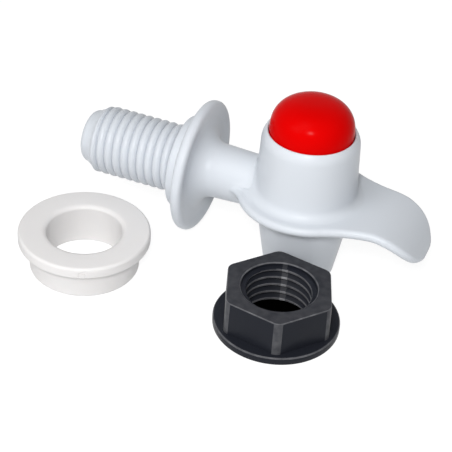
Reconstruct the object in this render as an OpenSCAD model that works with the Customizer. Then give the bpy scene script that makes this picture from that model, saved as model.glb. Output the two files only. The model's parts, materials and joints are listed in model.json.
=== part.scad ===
// Push-button tap for a water container, with its loose back nut and sealing bush.
// The origin is the centre of the flange's back face, on the axis of the shank.
// The shank points along -X, the barrel stands along +Z and the finger rest points along +X.

/* [Shank] */
// Length of the shank from the flange's back face to its tip
shank_len = 33.5; // [30:0.5:44]
// Diameter over the crests of the thread
thread_d = 19.6; // [18.5:0.1:22]
// Distance between two turns of the thread
thread_pitch = 2.5; // [2:0.1:3]
// Depth of the thread from crest to root
thread_depth = 1.15; // [0.7:0.05:1.4]
// Distance from the flange to the start of the thread
thread_start = 4.2; // [4:0.1:6]
// Length of the plain pilot in front of the thread
pilot_len = 3.7; // [3:0.1:7]
// Diameter of the pilot at its tip
pilot_d = 15.4; // [14:0.1:16.5]
// Diameter of the inlet bore in the shank
inlet_d = 10; // [8:0.1:11]
// Depth of the inlet bore past the flange's back face
inlet_past = 5; // [2:0.5:8]
// Diameter of the narrower water way in the neck
waterway_d = 8; // [6:0.1:8.4]

/* [Flange] */
// Diameter of the flange
flange_d = 37.8; // [34:0.1:44]
// Thickness of the flange at its rim
flange_t = 3.1; // [2.6:0.1:4]
// Radius of the rim's rounded edges
flange_edge = 1.15; // [0.6:0.05:1.3]
// Depth of the dish in the flange's front face
flange_dish = 0.5; // [0.1:0.1:1]
// Width of the raised rim round the dish
flange_rim = 1.9; // [1.4:0.1:3]
// Diameter of the collar behind the flange
collar_d = 26.5; // [24:0.1:30]
// Length of the collar behind the flange
collar_len = 3.9; // [2:0.1:4]
// Radius of the collar's rounded edge
collar_edge = 0.7; // [0.3:0.05:1.2]
// Radius of the flare from the flange to the neck
flare_r = 5; // [3:0.1:6]

/* [Neck] */
// Diameter of the neck next to the flange
neck_d1 = 15.7; // [14.5:0.1:18]
// Diameter of the neck where it meets the barrel
neck_d2 = 13.7; // [13:0.1:16]

/* [Barrel] */
// Distance from the flange's back face to the barrel's axis
barrel_x = 33.2; // [30:0.1:40]
// Diameter of the barrel just above the brim
barrel_d1 = 28.2; // [28:0.1:32]
// Diameter of the barrel below its rounded top
barrel_d2 = 27.1; // [26:0.1:28]
// Height of the barrel's top edge above the shank's axis
barrel_h = 20.9; // [19:0.1:24]
// Radius of the barrel's rounded top
barrel_round = 5; // [3:0.1:6]
// Wall of the barrel round the well that the button moves in
well_wall = 1.6; // [1.4:0.05:2.4]
// Height of the well's floor above the shank's axis
well_floor = 9.4; // [9:0.1:10]
// Width of the well's floor round the bore that holds the guide bush
gland_step = 1.35; // [1:0.05:1.6]
// Height of the ledge under the guide bush
ledge_z = 4.5; // [4.3:0.1:5]
// Diameter of the water chamber
chamber_d = 16.4; // [14:0.1:17]

/* [Brim and finger rest] */
// Diameter of the round brim
brim_d = 38.4; // [34:0.1:44]
// Thickness of the brim and the finger rest
brim_t = 2.7; // [2:0.1:3.4]
// Radius of the fillet between barrel and brim
brim_fillet = 2.6; // [1:0.1:3.6]
// Width of the finger rest
rest_w = 23.8; // [18:0.2:28]
// Radius of the inward curve between brim and finger rest
rest_blend_r = 35; // [20:1:60]
// Distance from the barrel's axis to the start of the bend
rest_flat = 22; // [20:0.2:26]
// Radius of the bend, on the upper face
rest_bend_r = 15.5; // [12:0.1:24]
// Angle of the bend, after which the finger rest runs straight down to its tip
rest_bend_angle = 55; // [20:1:80]
// Length of the rounded end of the finger rest
rest_end = 15.4; // [12:0.1:20]
// Distance along the finger rest from the axis to where its end begins to round
rest_end_start = 24; // [22:0.2:30]
// Fullness of the rounded end, where 2 is a plain ellipse
rest_end_full = 2.25; // [2:0.05:3]

/* [Spout] */
// Height of the shank's axis above the outlet
spout_h = 24.3; // [22:0.1:30]
// Diameter of the spout under the brim
spout_d1 = 27.6; // [26:0.1:28]
// Diameter of the spout at its outlet, before the rounded edge
spout_d2 = 19.8; // [19:0.1:23]
// Radius of the outlet's rounded outer edge
spout_edge = 1.1; // [0.4:0.05:1.2]
// Diameter of the straight outlet bore
outlet_d = 15.6; // [14:0.1:16.4]
// Height of the straight outlet bore
outlet_h = 3.2; // [2.6:0.1:6]
// Wall between the spout's tapered bore and its outside
spout_wall = 1.9; // [1.5:0.1:2.4]

/* [Valve seat] */
// Depth of the chamber's floor below the shank's axis
web_z = 6; // [5.5:0.1:6.5]
// Thickness of the web that carries the seat
web_t = 2.4; // [1.8:0.1:3]
// Diameter of the hole through the seat
seat_d = 9; // [7.6:0.1:10]
// Height of the raised seat below the web
seat_h = 0.8; // [0.4:0.1:1.2]
// Width of the raised seat's edge
seat_w = 1; // [0.7:0.1:1.2]

/* [Button] */
// Clearance between the button and its well, on the radius
button_gap = 0.3; // [0.2:0.05:0.5]
// Height of the button's skirt above the start of its dome
button_dome_h = 9.4; // [8:0.1:11]
// Height where the dome starts, above the shank's axis
button_dome_z = 20.7; // [19:0.1:22]
// Fullness of the dome, where 2 is a plain ellipse
button_full = 2.6; // [2:0.1:3.2]
// Wall of the button
button_wall = 2; // [1.4:0.1:2.4]
// Travel of the button
button_travel = 5; // [3:0.1:5.2]
// Room left between skirt and well floor when pressed
button_room = 0.5; // [0.3:0.1:1]
// Diameter of the boss inside the button
boss_d = 7.4; // [7:0.1:8.5]
// Distance from the dome's start down to the end of the boss
boss_drop = 1.2; // [0.2:0.1:1.4]

/* [Stem] */
// Diameter of the stem
stem_d = 6; // [5:0.1:6.4]
// Running clearance between the stem and the guide bush, on the radius
stem_gap = 0.05; // [0.02:0.01:0.1]
// Diameter of the spigot at each end of the stem
spigot_d = 4.4; // [3.6:0.1:4.6]
// Length of the spigot inside the button
spigot_len = 5; // [3:0.1:5.4]
// Width of the stem's seal groove
stem_groove_w = 1.3; // [1.2:0.05:1.6]
// Height of the stem's seal groove above the shank's axis
stem_groove_z = 10.6; // [10.4:0.1:10.8]

/* [Valve] */
// Diameter of the valve washer
washer_d = 13; // [12:0.1:14]
// Thickness of the valve washer
washer_t = 2.5; // [2:0.1:3]
// Gap between the washer and the seat when shut
seat_gap = 0.05; // [0.02:0.01:0.2]
// Diameter of the backing plate under the washer
plate_d = 11.6; // [10:0.1:12.8]
// Thickness of the backing plate
plate_t = 1; // [0.8:0.1:1.6]
// Diameter of the screw's head
screw_head_d = 5.6; // [5:0.1:7]
// Height of the screw's head
screw_head_h = 1.7; // [1.2:0.1:2.2]
// Diameter of the screw's shank
screw_d = 2.6; // [2:0.1:3]
// Length of the screw's shank
screw_len = 8; // [6:0.1:10]

/* [Guide bush] */
// Play between the guide bush and its bore, on the radius
gland_gap = 0.05; // [0.02:0.01:0.1]
// Diameter of the guide bush's tube
tube_d = 9.6; // [8.6:0.1:10.4]
// Height of the tube above the well's floor
tube_h = 3.6; // [3:0.1:4]
// Depth of the spring's pocket in the guide bush
pocket_depth = 1.2; // [0.8:0.1:1.6]
// Height of the outer seal's groove above the ledge
gland_groove_z = 1.2; // [1:0.1:1.4]
// Width of the outer seal's groove
gland_groove_w = 1.9; // [1.8:0.05:2.2]
// Height of the retaining bead
bead_h = 0.35; // [0.2:0.05:0.4]

/* [Seals] */
// Thickness of the outer seal ring
gland_seal_t = 1.6; // [1.4:0.05:1.7]
// Thickness of the stem's seal ring
stem_seal_t = 1.1; // [0.9:0.05:1.15]
// Clearance of a seal ring to the bore round it, on the radius
seal_gap = 0.02; // [0.01:0.01:0.05]

/* [Return spring] */
// Wire thickness of the return spring
wire_d = 1; // [0.7:0.05:1.1]
// Mean diameter of the return spring
coil_d = 13.4; // [12.4:0.1:14.4]
// Number of turns of the return spring
coil_turns = 6; // [5:0.5:7]

/* [Back nut] */
// Distance across the flats of the nut
nut_af = 28.6; // [26:0.1:32]
// Diameter over the nut's rounded corners, at the bottom
nut_corner_d = 32.4; // [30:0.1:36]
// Diameter of the nut's flange
nut_flange_d = 34.8; // [33:0.1:40]
// Height of the rim of the nut's flange
nut_rim_h = 2.4; // [1.6:0.1:3]
// Height of the whole nut
nut_h = 12.8; // [10:0.1:16]
// Slope of the nut's sides from upright, in degrees
nut_draft = 1.2; // [0:0.1:2]
// Diameter of the counterbore in the top of the nut
nut_mouth_d = 20.8; // [20.4:0.1:23]
// Depth of the counterbore
nut_mouth_depth = 1.1; // [0.6:0.1:2]
// Clearance between the nut's thread and the shank's, on the radius
nut_thread_gap = 0.3; // [0.2:0.05:0.4]

/* [Sealing bush] */
// Diameter of the bush's flange
bush_flange_d = 37.1; // [34:0.1:42]
// Thickness of the bush's flange
bush_flange_t = 3.3; // [2.4:0.1:4]
// Diameter of the bush's hub, under the flange
bush_hub_d = 31.4; // [29:0.1:33]
// Height of the whole bush
bush_h = 12.1; // [10:0.1:16]
// Diameter of the bush's bore
bush_bore_d = 21.2; // [20.4:0.1:25]
// Width of the bore's rounded mouth
bush_mouth = 1.7; // [0.4:0.1:2]
// Depth of the bore's rounded mouth
bush_mouth_depth = 1.1; // [0.4:0.1:2]
// Size of the bevel at the bottom of the bore
bush_bevel = 0.5; // [0.2:0.1:1]
// Radius of the bush's rounded edges
bush_edge = 0.8; // [0.3:0.1:1.2]

/* [Loose pieces beside the tap] */
// Distance of the nut from the barrel's axis, along the shank
nut_dx = 3.8; // [-20:0.1:20]
// Distance of the nut from the barrel's axis, across the shank
nut_dy = -27.8; // [-60:0.1:-26]
// Turn of the nut, in degrees
nut_turn = 50.3; // [0:0.1:60]
// Distance of the bush from the barrel's axis, along the shank
bush_dx = -54.7; // [-80:0.1:-40]
// Distance of the bush from the barrel's axis, across the shank
bush_dy = -27.3; // [-60:0.1:-26]

/* [Hidden] */
$fn = 96;
round_sides = 32;
eps = 0.01;
cut_past = 1;
floor_z = -spout_h;

// Shank and thread
thread_r = thread_d / 2;
root_r = thread_r - thread_depth;
thread_end = shank_len - pilot_len;
pilot_r = pilot_d / 2;
pilot_edge = 2;
thread_sides = 32;
rings_per_turn = 8;
thread_fade = 0.5 * thread_pitch;
shank_phase = 0.52;
nut_phase = 0.25;
thread_land = 0.12;
thread_sunk = 0.25;
shank_crest_power = 1;
nut_crest_power = 2;
nut_cutter_sunk = 0.5;

// Flange and neck
flange_r = flange_d / 2;
collar_r = collar_d / 2;
neck_r1 = neck_d1 / 2;
neck_r2 = neck_d2 / 2;
dish_x = flange_t - flange_dish;
flare_x = dish_x + flare_r;

// Barrel and brim
barrel_r1 = barrel_d1 / 2;
barrel_r2 = barrel_d2 / 2;
well_r = barrel_r2 - well_wall;
gland_bore_r = well_r - gland_step;
lip_r = 0.3;
lip_lead = 0.15;
lip_in_r = well_r + lip_lead + lip_r;
round_cx = barrel_r2 - barrel_round;
lip_angle = acos((lip_in_r - round_cx) / (barrel_round - lip_r));
round_cz = barrel_h - lip_r - (barrel_round - lip_r) * sin(lip_angle);
brim_r = brim_d / 2;
half_t = brim_t / 2;
fillet_stop = 12;

// Finger rest, in the plane of the brim
rest_half = rest_w / 2;
blend_x = sqrt(pow(brim_r + rest_blend_r, 2) - pow(rest_half + rest_blend_r, 2));
join_x = blend_x * brim_r / (brim_r + rest_blend_r);
rest_length = rest_end_start + rest_end;
mid_bend_r = rest_bend_r - half_t;
bend_length = mid_bend_r * rest_bend_angle * PI / 180;
side_rows = 6;
flat_rows = 5;
bend_rows = 10;
tip_angles = [0, 30, 55, 75];

// Spout and seat
spout_r1 = spout_d1 / 2;
spout_r2 = spout_d2 / 2;
outlet_r = outlet_d / 2;
web_low = -web_z - web_t;
seat_low = web_low - seat_h;
bore_top_r = spout_radius(web_low) - spout_wall;

// Button, stem and valve
button_r = well_r - button_gap;
button_top = button_dome_z + button_dome_h;
skirt_z = well_floor + button_travel + button_room;
boss_z = button_dome_z - boss_drop;
stem_r = stem_d / 2;
spigot_r = spigot_d / 2;
groove_floor_r = stem_r - stem_seal_t + seal_gap;
washer_top = seat_low - seat_gap;
plate_top = washer_top - washer_t;
screw_top = plate_top - plate_t;
screw_slot_w = 0.8;
screw_slot_len = 3.9;
screw_slot_depth = 1;
inner_r = button_r - button_wall;
inner_dome_h = button_dome_h - button_wall;
spring_out_r = (coil_d + wire_d) / 2;
spring_room = 0.1;
spring_low = well_floor - pocket_depth;
groove_low = ledge_z + gland_groove_z;
bead_z = (groove_low + gland_groove_w + well_floor) / 2;
spring_high = button_dome_z + dome_height(spring_out_r / inner_r) * inner_dome_h - spring_room;
coil_lead = 1.04 * wire_d;

// Back nut and bush
nut_thread_r = thread_r + nut_thread_gap;
nut_core_r = root_r + nut_thread_gap;
nut_edge = 0.5;
nut_shoulder_h = 0.8;
nut_lead_h = 1.2;

// Radius of the spout's outside at height z
function spout_radius(z) = spout_r1 + (spout_r2 - spout_r1) * (-half_t - z) / (spout_h - half_t);

// Points of an arc round (cx, cy) from angle a to angle b
function arc(cx, cy, r, a, b, n = 12) = [for (i = [0:n]) let (t = a + (b - a) * i / n)
    [cx + r * cos(t), cy + r * sin(t)]];

// Half width of the finger rest at distance s along it
function blend_half(s) = s >= blend_x ? rest_half
    : rest_half + rest_blend_r - sqrt(pow(rest_blend_r, 2) - pow(blend_x - s, 2));
function end_share(s) = s <= rest_end_start ? 1
    : pow(max(0, 1 - pow((s - rest_end_start) / rest_end, rest_end_full)), 1 / rest_end_full);
function rest_half_at(s) = blend_half(s) * end_share(s);

// Half thickness of the finger rest, which rounds off over its last stretch
function rest_thick_at(s) = s <= rest_length - half_t ? half_t
    : half_t * sqrt(max(0, 1 - pow((s - rest_length + half_t) / half_t, 2)));

// Place in the XZ plane of the point at distance s along the finger rest and n above its middle
function rest_point(s, n) = let (bent = min(max(0, s - rest_flat), bend_length),
    a = bent / mid_bend_r * 180 / PI, past = s - rest_flat - bent)
    [rest_flat + (mid_bend_r + n) * sin(a) + past * cos(a),
     (mid_bend_r + n) * cos(a) - mid_bend_r - past * sin(a)];

// One closed section of the finger rest, flat above and below and round at both sides
function rest_section(s) = let (w = rest_half_at(s), t = rest_thick_at(s), e = min(w, half_t))
    [for (side = [0:1], i = [0:side_rows]) let (a = 90 - 180 * i / side_rows - 180 * side,
        y = (side == 0 ? w - e : e - w) + e * cos(a), p = rest_point(s, t * sin(a)))
        [p[0], y, p[1]]];

// Distances along the finger rest at which its sections stand, closer together at its end
function rest_stations() = concat(
    [for (i = [0:flat_rows]) join_x + (rest_flat - join_x) * i / flat_rows],
    [for (i = [1:bend_rows - 1]) rest_flat + (rest_length - half_t - rest_flat) * sin(i * 90 / bend_rows)],
    [for (a = tip_angles) rest_length - half_t + half_t * sin(a)]);

// Solid skinned over a list of closed sections that all have the same number of points
module skin(sections) {
    rows = len(sections);
    cols = len(sections[0]);
    sides = [for (i = [0:rows - 2], j = [0:cols - 1], half = [0:1]) let (k = (j + 1) % cols)
        half == 0 ? [i * cols + j, i * cols + k, (i + 1) * cols + j]
                  : [i * cols + k, (i + 1) * cols + k, (i + 1) * cols + j]];
    first = [for (j = [cols - 1:-1:0]) j];
    last = [for (j = [0:cols - 1]) (rows - 1) * cols + j];
    polyhedron(points = [for (s = sections) each s], faces = concat(sides, [first, last]));
}

// One turn-round section of a threaded rod, with its points moved onto the lines of the helix
function thread_section(core, crest, length, fade, power, phase, z) =
    [for (j = [0:thread_sides - 1]) let (a = -360 * j / thread_sides,
        turn = z / thread_pitch - a / 360 + phase,
        on_line = floor(turn * rings_per_turn + 0.5) / rings_per_turn,
        h = z + (on_line - turn) * thread_pitch,
        ridge = pow(abs(sin(180 * on_line)), power),
        ends = min(1, max(0, h / fade), max(0, (length - h) / fade)),
        r = core + (crest - core) * ridge * ends)
        [r * cos(a), r * sin(a), h]];

// Plain round end of a threaded rod
function plain_section(r, z) = [for (j = [0:thread_sides - 1]) let (a = -360 * j / thread_sides)
    [r * cos(a), r * sin(a), z]];

// Threaded rod along +Z whose thread fades out at both ends, with plain ends sunk into what it joins
module threaded_rod(core, crest, length, fade, power, phase, sunk) {
    steps = floor(length / thread_pitch * rings_per_turn);
    skin(concat([plain_section(core, -sunk)],
        [for (i = [0:steps])
            thread_section(core, crest, length, fade, power, phase, i * thread_pitch / rings_per_turn)],
        [plain_section(core, length + sunk)]));
}

// Revolved profile laid along the shank, with its first coordinate along +X
module along_shank(points) {
    rotate([0, 90, 0]) rotate_extrude() polygon([for (p = points) [p[1], p[0]]]);
}

module shank_solid() {
    along_shank(concat([[-shank_len, 0]],
        arc(-shank_len + pilot_edge, pilot_r - pilot_edge, pilot_edge, 180, 90, 6),
        [[-thread_end, root_r + thread_land], [-thread_end, 0]]));
    translate([-thread_start, 0, 0]) rotate([0, -90, 0])
        threaded_rod(root_r, thread_r, thread_end - thread_start, thread_fade, shank_crest_power,
            shank_phase, thread_sunk);
    along_shank(concat([[-thread_start, 0], [-thread_start, root_r + thread_land],
        [-collar_len, root_r + thread_land]],
        arc(-collar_len + collar_edge, collar_r - collar_edge, collar_edge, 180, 90, 4),
        [[0, collar_r]],
        arc(flange_edge, flange_r - flange_edge, flange_edge, 180, 90, 6),
        arc(flange_t - flange_edge, flange_r - flange_edge, flange_edge, 90, 0, 6),
        [[dish_x, flange_r - flange_edge - flange_rim + flange_dish]],
        arc(flare_x, neck_r1 + flare_r, flare_r, 180, 270, 10),
        [[barrel_x - eps, neck_r2], [barrel_x - eps, 0]]));
}

module barrel_profile() {
    fillet_cz = half_t + brim_fillet;
    polygon(concat([[0, -half_t], [barrel_r1 + brim_fillet, -half_t]],
        arc(barrel_r1 + brim_fillet, fillet_cz, brim_fillet, 270 - fillet_stop, 180, 8),
        arc(round_cx, round_cz, barrel_round, 0, lip_angle, 8),
        arc(lip_in_r, barrel_h - lip_r, lip_r, lip_angle, 180, 6),
        [[lip_in_r - lip_r, round_cz], [0, round_cz]]));
}

module brim_profile() {
    polygon(concat([[0, -half_t]], arc(brim_r - half_t, 0, half_t, -90, 90, 12), [[0, half_t]]));
}

module spout_profile() {
    polygon(concat([[0, 0], [spout_r1, 0], [spout_r1, -half_t]],
        [[spout_radius(floor_z + spout_edge), floor_z + spout_edge]],
        arc(spout_radius(floor_z + spout_edge) - spout_edge, floor_z + spout_edge, spout_edge, 0, -90, 6),
        [[0, floor_z]]));
}

module finger_rest() {
    skin([for (s = rest_stations()) rest_section(s)]);
}

// Everything that is hollow in the barrel and the spout
module barrel_hollow() {
    translate([0, 0, well_floor]) cylinder(r = well_r, h = barrel_h);
    translate([0, 0, ledge_z]) cylinder(r = gland_bore_r, h = barrel_h);
    translate([0, 0, -web_z]) cylinder(d = chamber_d, h = barrel_h);
    translate([0, 0, web_low - seat_h - eps]) cylinder(d = seat_d, h = web_t + barrel_h);
    difference() {
        rotate_extrude() polygon([[0, web_low], [bore_top_r, web_low], [outlet_r, floor_z + outlet_h],
            [outlet_r, floor_z - eps], [0, floor_z - eps]]);
        translate([0, 0, seat_low])
            cylinder(d1 = seat_d + 2 * seat_w, d2 = seat_d + 4 * seat_w, h = seat_h + eps);
    }
    translate([0, 0, bead_z]) rotate_extrude()
        translate([gland_bore_r, 0]) circle(r = bead_h + gland_gap, $fn = round_sides);
}

module tap_body() {
    color([0.87, 0.89, 0.92]) difference() {
        union() {
            shank_solid();
            translate([barrel_x, 0, 0]) {
                rotate_extrude() barrel_profile();
                rotate_extrude() spout_profile();
                difference() {
                    rotate_extrude() brim_profile();
                    translate([join_x, -brim_r, -brim_t]) cube([brim_r, brim_d, 2 * brim_t]);
                }
                finger_rest();
            }
        }
        translate([-shank_len - eps, 0, 0]) rotate([0, 90, 0])
            cylinder(d = inlet_d, h = shank_len + inlet_past);
        rotate([0, 90, 0]) cylinder(d = waterway_d, h = barrel_x);
        translate([barrel_x, 0, 0]) barrel_hollow();
    }
}

// Share of the dome's height that is left at a share of its radius
function dome_height(share) = pow(1 - pow(share, button_full), 1 / button_full);

// Outline of the button's dome, from its widest line to its top, for a given radius and height
function dome(r, h, z, n = 14) = [for (i = [0:n]) let (a = 90 * i / n)
    [r * pow(cos(a), 2 / button_full), z + h * pow(sin(a), 2 / button_full)]];

module push_button() {
    color([0.88, 0.02, 0.02]) translate([barrel_x, 0, 0]) difference() {
        union() {
            difference() {
                rotate_extrude() polygon(concat([[0, skirt_z], [button_r, skirt_z]],
                    dome(button_r, button_dome_h, button_dome_z)));
                rotate_extrude() polygon(concat([[0, skirt_z - eps], [inner_r, skirt_z - eps]],
                    dome(inner_r, inner_dome_h, button_dome_z)));
            }
            translate([0, 0, boss_z]) cylinder(d = boss_d, h = inner_dome_h + button_wall / 2 + boss_drop);
        }
        translate([0, 0, boss_z - eps]) cylinder(r = spigot_r, h = spigot_len + eps);
    }
}

module button_stem() {
    color([0.93, 0.93, 0.9]) translate([barrel_x, 0, 0]) difference() {
        union() {
            translate([0, 0, boss_z]) cylinder(r = spigot_r, h = spigot_len);
            translate([0, 0, washer_top]) cylinder(r = stem_r, h = boss_z - washer_top);
            translate([0, 0, plate_top]) cylinder(r = spigot_r, h = washer_t);
        }
        translate([0, 0, stem_groove_z]) difference() {
            cylinder(r = stem_r + cut_past, h = stem_groove_w);
            cylinder(r = groove_floor_r, h = stem_groove_w);
        }
        translate([0, 0, screw_top]) cylinder(d = screw_d, h = plate_t + screw_len);
    }
}

module stem_seal() {
    color([0.1, 0.1, 0.11]) translate([barrel_x, 0, stem_groove_z + stem_groove_w / 2]) rotate_extrude()
        translate([stem_r + stem_gap - seal_gap - stem_seal_t / 2, 0])
            circle(d = stem_seal_t, $fn = round_sides);
}

// Height of the spring's wire after a number of turns, with a closed turn at each end
function coil_z(turn) = let (low = spring_low + wire_d / 2, high = spring_high - wire_d / 2,
    rise = (high - low - 2 * coil_lead) / (coil_turns - 2))
    turn < 1 ? low + coil_lead * turn
    : turn > coil_turns - 1 ? high - coil_lead * (coil_turns - turn)
    : low + coil_lead + rise * (turn - 1);

module return_spring() {
    steps = 18;
    sides = 8;
    color([0.72, 0.73, 0.75]) translate([barrel_x, 0, 0])
        skin([for (i = [0:coil_turns * steps]) let (turn = i / steps, a = 360 * turn)
            [for (j = [0:sides - 1]) let (b = 360 * j / sides, r = coil_d / 2 + wire_d / 2 * cos(b))
                [r * cos(a), r * sin(a), coil_z(turn) + wire_d / 2 * sin(b)]]]);
}

module guide_bush() {
    gland_r = gland_bore_r - gland_gap;
    groove_r = gland_bore_r - seal_gap - gland_seal_t;
    spring_in = coil_d / 2 - wire_d;
    color([0.9, 0.91, 0.9]) translate([barrel_x, 0, 0]) difference() {
        union() {
            translate([0, 0, ledge_z]) cylinder(r = gland_r, h = well_floor - ledge_z);
            translate([0, 0, ledge_z]) cylinder(d = tube_d, h = well_floor - ledge_z + tube_h);
            translate([0, 0, bead_z]) rotate_extrude()
                translate([gland_r, 0]) circle(r = bead_h, $fn = round_sides);
        }
        translate([0, 0, groove_low]) difference() {
            cylinder(r = gland_r + cut_past, h = gland_groove_w);
            cylinder(r = groove_r, h = gland_groove_w);
        }
        translate([0, 0, spring_low]) difference() {
            cylinder(r = coil_d / 2 + wire_d, h = pocket_depth + cut_past);
            cylinder(r = spring_in, h = pocket_depth + cut_past);
        }
        translate([0, 0, ledge_z - eps]) cylinder(r = stem_r + stem_gap, h = well_floor + tube_h);
    }
}

module guide_bush_seal() {
    color([0.1, 0.1, 0.11]) translate([barrel_x, 0, groove_low + gland_groove_w / 2])
        rotate_extrude() translate([gland_bore_r - seal_gap - gland_seal_t / 2, 0])
            circle(d = gland_seal_t, $fn = round_sides);
}

module valve_washer() {
    color([0.75, 0.76, 0.78]) translate([barrel_x, 0, plate_top]) difference() {
        cylinder(d = washer_d, h = washer_t);
        translate([0, 0, -eps]) cylinder(r = spigot_r, h = washer_t + 2 * eps);
    }
}

module backing_plate() {
    color([0.93, 0.93, 0.9]) translate([barrel_x, 0, screw_top]) difference() {
        cylinder(d = plate_d, h = plate_t);
        translate([0, 0, -eps]) cylinder(d = screw_d, h = plate_t + 2 * eps);
    }
}

module washer_screw() {
    color([0.75, 0.75, 0.77]) translate([barrel_x, 0, screw_top]) difference() {
        union() {
            cylinder(d = screw_d, h = screw_len);
            translate([0, 0, -screw_head_h]) cylinder(d = screw_head_d, h = screw_head_h);
        }
        for (a = [0, 90]) rotate(a)
            translate([-screw_slot_len / 2, -screw_slot_w / 2, -screw_head_h - eps])
                cube([screw_slot_len, screw_slot_w, screw_slot_depth]);
    }
}

module sealing_bush() {
    hub_h = bush_h - bush_flange_t;
    hub_r = bush_hub_d / 2;
    rim_r = bush_flange_d / 2;
    bore_r = bush_bore_d / 2;
    color([0.93, 0.92, 0.91]) translate([barrel_x + bush_dx, bush_dy, floor_z]) difference() {
        rotate_extrude() polygon(concat([[0, 0]],
            arc(hub_r - bush_edge, bush_edge, bush_edge, -90, 0, 6),
            [[hub_r, hub_h]],
            arc(rim_r - bush_edge / 2, hub_h + bush_edge / 2, bush_edge / 2, -90, 0, 4),
            arc(rim_r - bush_edge, bush_h - bush_edge, bush_edge, 0, 90, 6),
            [[0, bush_h]]));
        rotate_extrude() polygon(concat([[0, -eps], [bore_r + bush_bevel, -eps], [bore_r + bush_bevel, 0],
            [bore_r, bush_bevel]],
            [for (p = arc(bush_mouth, 0, bush_mouth, 180, 90, 8))
                [bore_r + p[0], bush_h - bush_mouth_depth + p[1] * bush_mouth_depth / bush_mouth]],
            [[bore_r + bush_mouth, bush_h + eps], [0, bush_h + eps]]));
    }
}

module back_nut() {
    corner_r = nut_corner_d / 2;
    top_r = corner_r - nut_h * tan(nut_draft);
    rim_r = nut_flange_d / 2;
    shoulder_r = nut_af / 2 - nut_edge;
    color([0.24, 0.25, 0.28]) translate([barrel_x + nut_dx, nut_dy, floor_z]) rotate(nut_turn) difference() {
        union() {
            difference() {
                rotate_extrude() polygon([[0, 0], [corner_r, 0], [top_r, nut_h - nut_edge],
                    [top_r - nut_edge, nut_h], [0, nut_h]]);
                for (k = [0:5]) rotate(30 + 60 * k) translate([nut_af / 2, -nut_af, 0])
                    rotate([0, -nut_draft, 0]) translate([0, 0, -cut_past])
                        cube([nut_af, 2 * nut_af, nut_h + 3 * cut_past]);
            }
            rotate_extrude() polygon([[0, 0], [rim_r - nut_edge, 0], [rim_r, nut_edge],
                [rim_r, nut_rim_h - nut_edge], [rim_r - nut_edge, nut_rim_h],
                [shoulder_r, nut_rim_h + nut_shoulder_h], [0, nut_rim_h + nut_shoulder_h]]);
        }
        translate([0, 0, -cut_past])
            threaded_rod(nut_core_r, nut_thread_r, nut_h + 2 * cut_past, eps, nut_crest_power,
                nut_phase, nut_cutter_sunk);
        translate([0, 0, nut_h - nut_mouth_depth]) cylinder(d = nut_mouth_d, h = nut_mouth_depth + cut_past);
        translate([0, 0, -eps])
            cylinder(r1 = nut_thread_r + nut_edge, r2 = nut_core_r - nut_edge, h = nut_lead_h);
    }
}

tap_body();
push_button();
button_stem();
stem_seal();
return_spring();
guide_bush();
guide_bush_seal();
valve_washer();
backing_plate();
washer_screw();
sealing_bush();
back_nut();
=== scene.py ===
"""Looks of a moulded push-button tap, with its loose back nut and its sealing bush.

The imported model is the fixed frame. Pieces whose solids already have their true surface keep them and
get a finish. The moulded body, the button, the spring, the bush and the nut are modelled again, finer.
Shapes are worked out in millimetres and brought to metres when a piece is finished.
"""

import json
import logging
import math
from dataclasses import dataclass, field
from enum import Enum

import bmesh
import bpy
from mathutils import Matrix, Vector
from mathutils.bvhtree import BVHTree


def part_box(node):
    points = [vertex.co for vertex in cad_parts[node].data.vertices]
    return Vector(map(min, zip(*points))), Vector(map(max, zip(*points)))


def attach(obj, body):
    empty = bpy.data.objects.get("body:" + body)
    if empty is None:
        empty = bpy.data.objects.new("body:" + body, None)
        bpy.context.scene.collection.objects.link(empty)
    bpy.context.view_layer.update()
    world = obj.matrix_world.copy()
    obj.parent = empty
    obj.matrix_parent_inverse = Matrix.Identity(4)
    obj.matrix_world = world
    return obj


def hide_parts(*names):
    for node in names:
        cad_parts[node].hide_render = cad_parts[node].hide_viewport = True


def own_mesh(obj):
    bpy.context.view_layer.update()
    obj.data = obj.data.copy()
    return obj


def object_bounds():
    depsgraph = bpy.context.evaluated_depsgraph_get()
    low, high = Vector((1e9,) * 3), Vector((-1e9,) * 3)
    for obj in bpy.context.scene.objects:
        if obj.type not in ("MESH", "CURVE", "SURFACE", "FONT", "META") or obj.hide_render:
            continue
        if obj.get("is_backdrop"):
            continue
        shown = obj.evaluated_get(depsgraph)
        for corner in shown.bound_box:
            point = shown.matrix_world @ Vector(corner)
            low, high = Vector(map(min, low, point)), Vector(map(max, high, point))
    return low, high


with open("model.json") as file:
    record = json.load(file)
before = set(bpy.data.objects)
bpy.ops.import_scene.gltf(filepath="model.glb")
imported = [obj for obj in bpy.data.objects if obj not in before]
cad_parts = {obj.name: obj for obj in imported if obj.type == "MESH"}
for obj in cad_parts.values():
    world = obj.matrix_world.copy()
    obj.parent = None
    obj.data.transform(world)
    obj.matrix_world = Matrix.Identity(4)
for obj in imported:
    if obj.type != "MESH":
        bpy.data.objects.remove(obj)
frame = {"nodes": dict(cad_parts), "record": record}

log = logging.getLogger("tap")
MM = 0.001
WORK_SCALE = Matrix.Scale(MM, 4)
PER_TURN = 72
WHITE = (1.0, 1.0, 1.0, 1.0)
MERGE = 1e-5
BMesh = bmesh.types.BMesh
Point = tuple[float, float]
Colour = tuple[float, float, float]


class Axis(Enum):
    """Axis that a profile is spun about."""

    UP = (0.0, 0.0, 1.0)
    SHANK = (1.0, 0.0, 0.0)


class Join(Enum):
    """How one solid is combined with another."""

    UNION = "UNION"
    CUT = "DIFFERENCE"


class Body(Enum):
    """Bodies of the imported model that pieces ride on."""

    TAP = "tap"
    PLUNGER = "plunger"


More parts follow.
